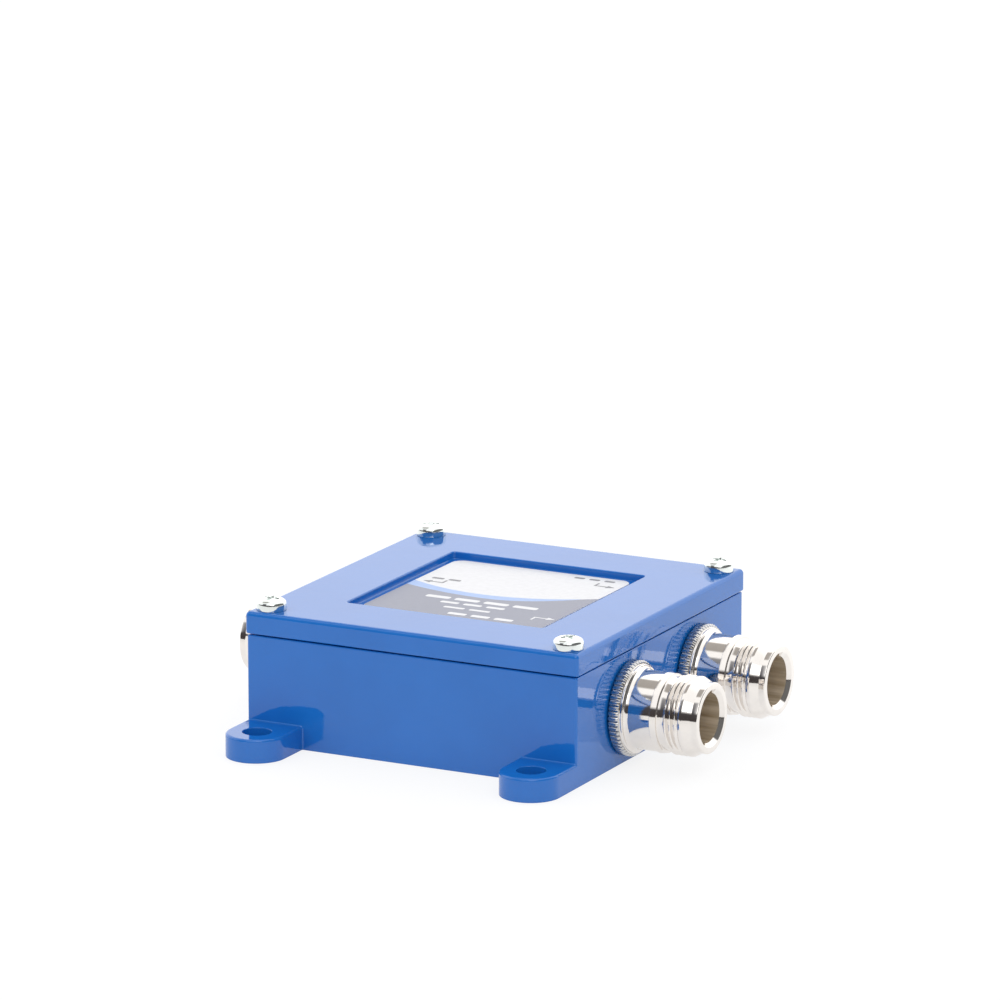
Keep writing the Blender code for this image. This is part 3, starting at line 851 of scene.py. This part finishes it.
def new_tree(name, inputs, output):
    """A geometry tree with named inputs and one output, and the sockets of its inputs."""
    tree = Tree(bpy.data.node_groups.new(name, "GeometryNodeTree"))
    face = tree.tree.interface
    for socket, kind in inputs.items():
        face.new_socket(socket, in_out="INPUT", socket_type="NodeSocket" + kind)
    face.new_socket(output, in_out="OUTPUT", socket_type="NodeSocketGeometry")
    return tree, tree.add("NodeGroupInput").outputs


def copy_at(tree, points, shape, turn, axis, material):
    """Ends a tree in real meshes: a copy at each point, turned by a step more than the last."""
    angle = tree.math("MULTIPLY", tree.add("GeometryNodeInputIndex").outputs[0], turn)
    spin = tree.add("ShaderNodeCombineXYZ", {axis: angle}).outputs[0]
    feeds = {"Points": points, "Instance": shape, "Rotation": spin}
    copies = tree.add("GeometryNodeInstanceOnPoints", feeds).outputs["Instances"]
    real = tree.add("GeometryNodeRealizeInstances", {"Geometry": copies}).outputs["Geometry"]
    painted = tree.add("GeometryNodeSetMaterial", {"Geometry": real, "Material": material})
    tree.add("NodeGroupOutput", {0: painted.outputs["Geometry"]})
    return tree.tree


def corner_tree(material):
    """Geometry nodes that stand one copy of a shape at each corner of a rectangle."""
    inputs = {"Screw": "Geometry"}
    inputs.update((name, "Float") for name in ("Spacing X", "Spacing Y", "Seat Height", "Turn"))
    tree, given = new_tree("screws_at_corners", inputs, "Screws")
    feeds = {"Vertices X": 2, "Vertices Y": 2, "Size X": given["Spacing X"], "Size Y": given["Spacing Y"]}
    grid = tree.add("GeometryNodeMeshGrid", feeds).outputs["Mesh"]
    lift = tree.add("ShaderNodeCombineXYZ", {"Z": given["Seat Height"]}).outputs[0]
    raised = tree.add("GeometryNodeTransform", {"Geometry": grid, "Translation": lift}).outputs["Geometry"]
    return copy_at(tree, raised, given["Screw"], given["Turn"], "Z", material)


def run_tree(thing, tree, values):
    """Runs a tree on an object with its named inputs set, and keeps the plain mesh."""
    step = thing.modifiers.new("nodes", "NODES")
    step.node_group = tree
    for item in tree.interface.items_tree:
        if item.item_type == "SOCKET" and item.in_out == "INPUT" and item.name in values:
            step[item.identifier] = values[item.name]
    return bake(thing)


def make_screws(zinc):
    """The four lid screws as one mesh."""
    screw = screw_mesh(zinc)
    seat = box_mm("lid")[1].z
    values = {
        "Spacing X": (BOX_LENGTH - 2 * SCREW_INSET) * METRE,
        "Spacing Y": (BOX_DEPTH - 2 * SCREW_INSET) * METRE,
        "Seat Height": seat * METRE,
        "Turn": SCREW_TURN,
    }
    run_tree(screw, corner_tree(zinc), values)
    screw.name = "lid_screws"
    names = ["lid_screw_" + place for place in ("front_left", "front_right", "back_left", "back_right")]
    dress(screw, "zinc_plate", *names)


# Connectors


def thread_radius(station, radius, turn):
    """Radius of the turned body with a helical groove in the threaded zone."""
    if radius != THREAD_RADIUS or station >= THREAD_FRONT:
        return radius
    phase = (station - THREAD_BASE) / THREAD_PITCH - turn / (2 * math.pi)
    wave = abs(2 * (phase - math.floor(phase)) - 1)
    crest = min(max((wave - THREAD_VALLEY) / THREAD_FLANK, 0.0), 1.0)
    run_in = min((station - THREAD_BASE) / (THREAD_RUN_IN * THREAD_PITCH), 1.0)
    run_out = min((THREAD_FRONT - station) / (THREAD_RUN_OUT * THREAD_PITCH), 1.0)
    height = crest * run_in if run_out >= 1.0 else 1.0 - (1.0 - crest) * run_out
    return THREAD_ROOT + (THREAD_RADIUS - THREAD_ROOT) * height


def shell_profile():
    """Section of a connector shell: outside from rear to front, then the bore from front to rear.

    Points set close together beside an edge keep the face next to it evenly shaded.
    """
    outside = [(-SHANK_LENGTH, SHANK_RADIUS), (FLANGE_BASE, SHANK_RADIUS)]
    rim = FLANGE_RADIUS - TOOTH_HEIGHT
    outside += [(FLANGE_BASE, rim), (FLANGE_FRONT - FLANGE_EDGE, rim), (FLANGE_FRONT, rim - FLANGE_EDGE)]
    foot = (FLANGE_FRONT, COLLAR_RADIUS + COLLAR_FOOT)
    outside += fillet(foot, (FLANGE_FRONT + COLLAR_FOOT, COLLAR_RADIUS), 0, 3)
    edge = (COLLAR_FRONT - COLLAR_EDGE, COLLAR_RADIUS)
    outside += fillet(edge, (COLLAR_FRONT, COLLAR_RADIUS - COLLAR_EDGE), 1, 4)
    outside += fillet((COLLAR_FRONT, COLLAR_RADIUS - COLLAR_STEP), (NECK_BASE, NECK_RADIUS), 0, 6)
    outside += [(SHOULDER_BASE - 0.1, NECK_RADIUS)]
    outside += [(SHOULDER_BASE - 0.02, NECK_RADIUS + 0.02), (SHOULDER_BASE, SHOULDER_RADIUS - 0.04)]
    outside += [(SHOULDER_BASE + SHOULDER_EDGE, SHOULDER_RADIUS)]
    for i in range(1, SHOULDER_STEPS + 1):
        share = i / SHOULDER_STEPS
        along = share * (SHOULDER_FRONT - SHOULDER_BASE - SHOULDER_EDGE)
        drop = SHOULDER_CROWN * (0.45 * share + 0.55 * share ** 2)
        outside.append((SHOULDER_BASE + SHOULDER_EDGE + along, SHOULDER_RADIUS - drop))
    foot = (SHOULDER_FRONT, RELIEF_RADIUS + RELIEF_FOOT)
    outside += fillet(foot, (SHOULDER_FRONT + RELIEF_FOOT, RELIEF_RADIUS), 0, 3)
    outside += [(THREAD_BASE - 0.08, RELIEF_RADIUS), (THREAD_BASE, RELIEF_RADIUS)]
    for i in range(1, THREAD_STEPS):
        outside.append((THREAD_BASE + (THREAD_FRONT - THREAD_BASE) * i / THREAD_STEPS, THREAD_RADIUS))
    outside += [(THREAD_FRONT, THREAD_RADIUS), (LAND_FRONT - 0.15, THREAD_RADIUS)]
    outside += [(LAND_FRONT - 0.03, THREAD_RADIUS - 0.02), (LAND_FRONT + 0.1, THREAD_RADIUS - 0.1)]
    outside += [(PILOT_BASE - 0.1, PILOT_RADIUS + 0.08), (PILOT_BASE + 0.02, PILOT_RADIUS + 0.01)]
    outside += [(PILOT_BASE + 0.12, PILOT_RADIUS)]
    outside += fillet((REACH - PILOT_BEVEL, PILOT_RADIUS), (REACH, PILOT_RADIUS - PILOT_BEVEL), 1, 4)
    chamfer = MOUTH_RADIUS - BORE_RADIUS
    bore = [(REACH, MOUTH_RADIUS + MOUTH_EDGE), (REACH - MOUTH_EDGE, MOUTH_RADIUS)]
    bore += [(REACH - chamfer, BORE_RADIUS), (REACH - BORE_DEPTH, BORE_RADIUS)]
    bore += [(REACH - BORE_DEPTH - BORE_STEP, INNER_BORE_RADIUS + BORE_STEP)]
    bore += [(REACH - BORE_DEPTH - 2 * BORE_STEP, INNER_BORE_RADIUS)]
    bore += [(-SHANK_LENGTH, INNER_BORE_RADIUS)]
    return outside + bore


def tooth_mesh(rim):
    """One tooth of the flange's serrated rim, pointing along Y, with its front edge cut back."""
    width = 2 * math.pi * FLANGE_RADIUS / TOOTH_COUNT
    foot = FLANGE_RADIUS - TOOTH_HEIGHT - TOOTH_ROOT
    flank = [(foot, TOOTH_ROOT_SHARE * width)]
    flank += [(FLANGE_RADIUS - drop * TOOTH_HEIGHT, share * width) for drop, share in TOOTH_FLANK]
    section = [(radius, -half) for radius, half in flank] + flank[::-1]
    stations = (
        (FLANGE_BASE, TOOTH_EDGE),
        (FLANGE_BASE + TOOTH_EDGE, 0.0),
        (FLANGE_FRONT - TOOTH_CHAMFER, 0.0),
        (FLANGE_FRONT, TOOTH_CHAMFER),
    )
    levels = []
    for station, drop in stations:
        levels.append(([(max(min(r, FLANGE_RADIUS - drop), foot), w) for r, w in section], station))
    return make_object("flange_tooth", turn_to_x(loft(levels)), rim, 25.0)


def ring_tree(material):
    """Geometry nodes that repeat a shape about the X axis."""
    tree, given = new_tree("teeth_round_flange", {"Tooth": "Geometry", "Count": "Int"}, "Teeth")
    feeds = {"Count": given["Count"], "Offset": (0.0, 0.0, 0.0)}
    line = tree.add("GeometryNodeMeshLine", feeds).outputs["Mesh"]
    step = tree.math("DIVIDE", 2 * math.pi, given["Count"])
    return copy_at(tree, line, given["Tooth"], step, "X", material)


def line_bore(shell, bore):
    """Gives the inside of a shell its duller finish, which carries painted shade and painted reflection."""
    shell.data.materials.append(bore)
    for face in shell.data.polygons:
        station, y, z = (c / METRE for c in face.center)
        inside = math.hypot(y, z) < BORE_RADIUS + MOUTH_EDGE
        face.material_index = int(inside and station < REACH - MOUTH_RADIUS + BORE_RADIUS)


def make_connectors(ports, nickel, rim, bore, plastic, gold):
    """The three sockets, each a turned shell, a ring of teeth in darker nickel that carries painted shade,
    a sleeve and a contact.
    """
    tree = ring_tree(rim)
    for name, side, y, z in ports:
        spot = at_port(side, y, z)
        shape = lathe(shell_profile(), TURNED_STEPS, closed=True, reach=thread_radius)
        shell = make_object("socket_shell_" + name, shape, nickel, 28.0)
        flatten_shading(shell)
        line_bore(shell, bore)
        dress(move_mesh(shell, spot), "nickel_plate", "connector_shell_" + name)
        teeth = run_tree(tooth_mesh(rim), tree, {"Count": TOOTH_COUNT})
        teeth.name = "socket_teeth_" + name
        flatten_shading(teeth)
        dress(move_mesh(teeth, spot), "nickel_plate")
        dress(move_mesh(make_sleeve(name, plastic), spot), "white_insulator", "connector_insulator_" + name)
        dress(move_mesh(make_contact(name, gold), spot), "gold_plate", "centre_contact_" + name)


def make_sleeve(name, plastic):
    """The white insulating sleeve round the contact."""
    inner = CONTACT_RADIUS + SLEEVE_GAP
    profile = [(SLEEVE_FRONT, inner + SLEEVE_EDGE), (SLEEVE_FRONT, SLEEVE_RADIUS - SLEEVE_EDGE)]
    profile += [(SLEEVE_FRONT - SLEEVE_EDGE, SLEEVE_RADIUS), (-SHANK_LENGTH, SLEEVE_RADIUS)]
    profile += [(-SHANK_LENGTH, inner), (SLEEVE_FRONT - SLEEVE_EDGE, inner)]
    return make_object("socket_sleeve_" + name, lathe(profile, ROUND_STEPS, closed=True), plastic)


def make_contact(name, gold):
    """The slotted female contact with a chamfered mouth and a solder tail."""
    hole_end = CONTACT_TIP - CONTACT_HOLE_DEPTH
    edge = CONTACT_TIP - CONTACT_EDGE
    profile = [(hole_end, 0.0), (hole_end, CONTACT_HOLE), (edge, CONTACT_HOLE)]
    profile += [(CONTACT_TIP, CONTACT_HOLE + CONTACT_EDGE), (CONTACT_TIP, CONTACT_RADIUS - CONTACT_EDGE)]
    profile += [(edge, CONTACT_RADIUS), (-SHANK_LENGTH, CONTACT_RADIUS), (-SHANK_LENGTH, TAIL_RADIUS)]
    profile += [(-SHANK_LENGTH - TAIL_LENGTH, TAIL_RADIUS), (-SHANK_LENGTH - TAIL_LENGTH, 0.0)]
    contact = make_object("socket_contact_" + name, lathe(profile, ROUND_STEPS), gold)
    half = CONTACT_SLOT / 2
    outline = cross(CONTACT_RADIUS + OVERCUT, half, half)
    slots = turn_to_x(prism(outline, hole_end + CONTACT_RADIUS, CONTACT_TIP + OVERCUT))
    return boolean(contact, [(make_object("slots", slots), "DIFFERENCE")])


# Label


def valley(curve, x):
    """Height of a curve with its lowest point at (x, y) and a bend on each side."""
    low_x, low_y, left, right = curve
    bend = left if x < low_x else right
    return low_y + bend * (x - low_x) ** 2


def stripe_front(x):
    """Front edge of the stripe, which ends where it meets the back edge."""
    return min(valley(STRIPE_FRONT, x), valley(STRIPE_BACK, x))


def arrow(tip_x, y, side, rise):
    """Outline of an arrow that points to one side, with its tail bent up or down."""
    head_length, head_width = ARROW_HEAD
    half = ARROW_SHAFT / 2
    outline = [
        (0.0, 0.0),
        (-head_length, head_width / 2),
        (-head_length, half),
        (-ARROW_LENGTH + ARROW_SHAFT, half),
        (-ARROW_LENGTH + ARROW_SHAFT, ARROW_TAIL),
        (-ARROW_LENGTH, ARROW_TAIL),
        (-ARROW_LENGTH, -half),
        (-head_length, -half),
        (-head_length, -head_width / 2),
    ]
    return [(tip_x + side * px, y + rise * py) for px, py in outline]


def bars(rows):
    """Outlines of rows of bars, from rows of a height, two ends, a width and a count."""
    outlines = []
    for y, start, end, width, count in rows:
        pitch = (end - start + BAR_GAP) / count
        length = pitch - BAR_GAP
        for i in range(count):
            centre = (start + i * pitch + length / 2, y)
            outlines.append(rounded_rectangle(length, width, BAR_ROUNDNESS * width, centre, 3))
    return outlines


def make_print(name, outlines, base, ink, finish):
    """One colour of print, as thin plates on the film."""
    shape = bmesh.new()
    for outline in outlines:
        prism(outline, base - PRINT_RISE, base + PRINT_RISE, shape)
    dress(make_object(name, shape, mottled(ink, *finish)), "label_film")


def make_label(film):
    """The film label in the recess, with its fields, bars and arrows."""
    low, high = box_mm("label")
    size = high - low
    centre = ((low.x + high.x) / 2, (low.y + high.y) / 2)

    def outline(inset):
        corner = LABEL_CORNER - inset
        return rounded_rectangle(size.x - 2 * inset, size.y - 2 * inset, corner, centre, LABEL_STEPS)

    base = box_mm("lid")[1].z - RECESS_DEPTH + LABEL_GAP
    top = high.z - 3 * PRINT_RISE
    levels = [(outline(0.0), base), (outline(0.0), top - LABEL_EDGE), (outline(LABEL_EDGE), top)]
    label = make_object("label_film", loft(levels), film)
    dress(label, "label_film", "label")
    front = [(x, y) for x, y in outline(LABEL_EDGE) if y < centre[1]]
    left = min(x for x, _ in front)
    right = max(x for x, _ in front)
    across = [left + (right - left) * i / STRIPE_STEPS for i in range(STRIPE_STEPS + 1)]
    edge_line = [(x, stripe_front(x)) for x in across]
    make_print("label_grey_field", [front + edge_line[::-1]], top, "grey_ink", GREY_INK)
    banded = [x for x in across if valley(STRIPE_BACK, x) - stripe_front(x) > STRIPE_LEAST]
    stripe = [(x, stripe_front(x)) for x in banded] + [(x, valley(STRIPE_BACK, x)) for x in banded[::-1]]
    make_print("label_blue_stripe", [stripe], top, "pale_blue_ink", PALE_BLUE_INK)
    white_marks = bars(WHITE_BARS) + [arrow(*place) for place in WHITE_ARROWS]
    make_print("label_white_marks", white_marks, top + PRINT_RISE, "white_ink", WHITE_INK)
    grey_marks = bars(GREY_BARS) + [arrow(*place) for place in GREY_ARROWS]
    make_print("label_grey_marks", grey_marks, top, "dark_grey_ink", DARK_GREY_INK)


def dress_inside(nodes):
    """Finishes of the parts that the closed lid hides."""
    finishes = {
        "circuit_board": mottled("green_laminate", *LAMINATE),
        "main_trace": mottled("copper_strip", *COPPER, metallic=1.0),
        "chip_resistor": mottled("dark_ceramic", *CERAMIC),
        "board_screw": mottled("inner_zinc", *INNER_ZINC, metallic=1.0),
    }
    finishes["tap_trace"] = finishes["main_trace"]
    for name, node in nodes.items():
        for start, finish in finishes.items():
            if name.startswith(start):
                node.data.materials.clear()
                node.data.materials.append(finish)


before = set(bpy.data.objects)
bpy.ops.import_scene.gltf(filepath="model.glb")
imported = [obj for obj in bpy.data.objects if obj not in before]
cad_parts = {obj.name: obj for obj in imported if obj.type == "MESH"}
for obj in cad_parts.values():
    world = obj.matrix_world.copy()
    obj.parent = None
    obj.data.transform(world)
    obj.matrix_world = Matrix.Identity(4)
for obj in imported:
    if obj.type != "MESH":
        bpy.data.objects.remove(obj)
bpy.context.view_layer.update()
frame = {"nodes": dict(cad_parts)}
bpy.context.scene.view_settings.view_transform = "Standard"


def main():
    """Builds the studio and the dressed part."""
    make_camera()
    make_world()
    make_floor()
    ports = []
    for name, side in (("input", -1), ("tap", 1), ("through", 1)):
        low, high = box_mm("connector_shell_" + name)
        ports.append((name, side, (low.y + high.y) / 2, (low.z + high.z) / 2))
    paint = blue_enamel()
    nickel = turned_metal("bright_nickel", *NICKEL)
    # The teeth's darker nickel is painted shade
    rim = turned_metal("rolled_nickel", *ROLLED_NICKEL_IN_PAINTED_SHADE)
    gold = mottled("gold_plate", *GOLD, metallic=1.0)
    plastic = mottled("white_fluoropolymer", *FLUOROPOLYMER)
    make_body(paint, ports)
    make_lid(paint)
    make_label(mottled("white_film", *FILM))
    make_screws(mottled("bright_zinc", *ZINC, metallic=1.0))
    # The bore finish carries painted shade and painted reflection
    make_connectors(ports, nickel, rim, painted_shade_bore(), plastic, gold)
    dress_inside(frame["nodes"])


main()
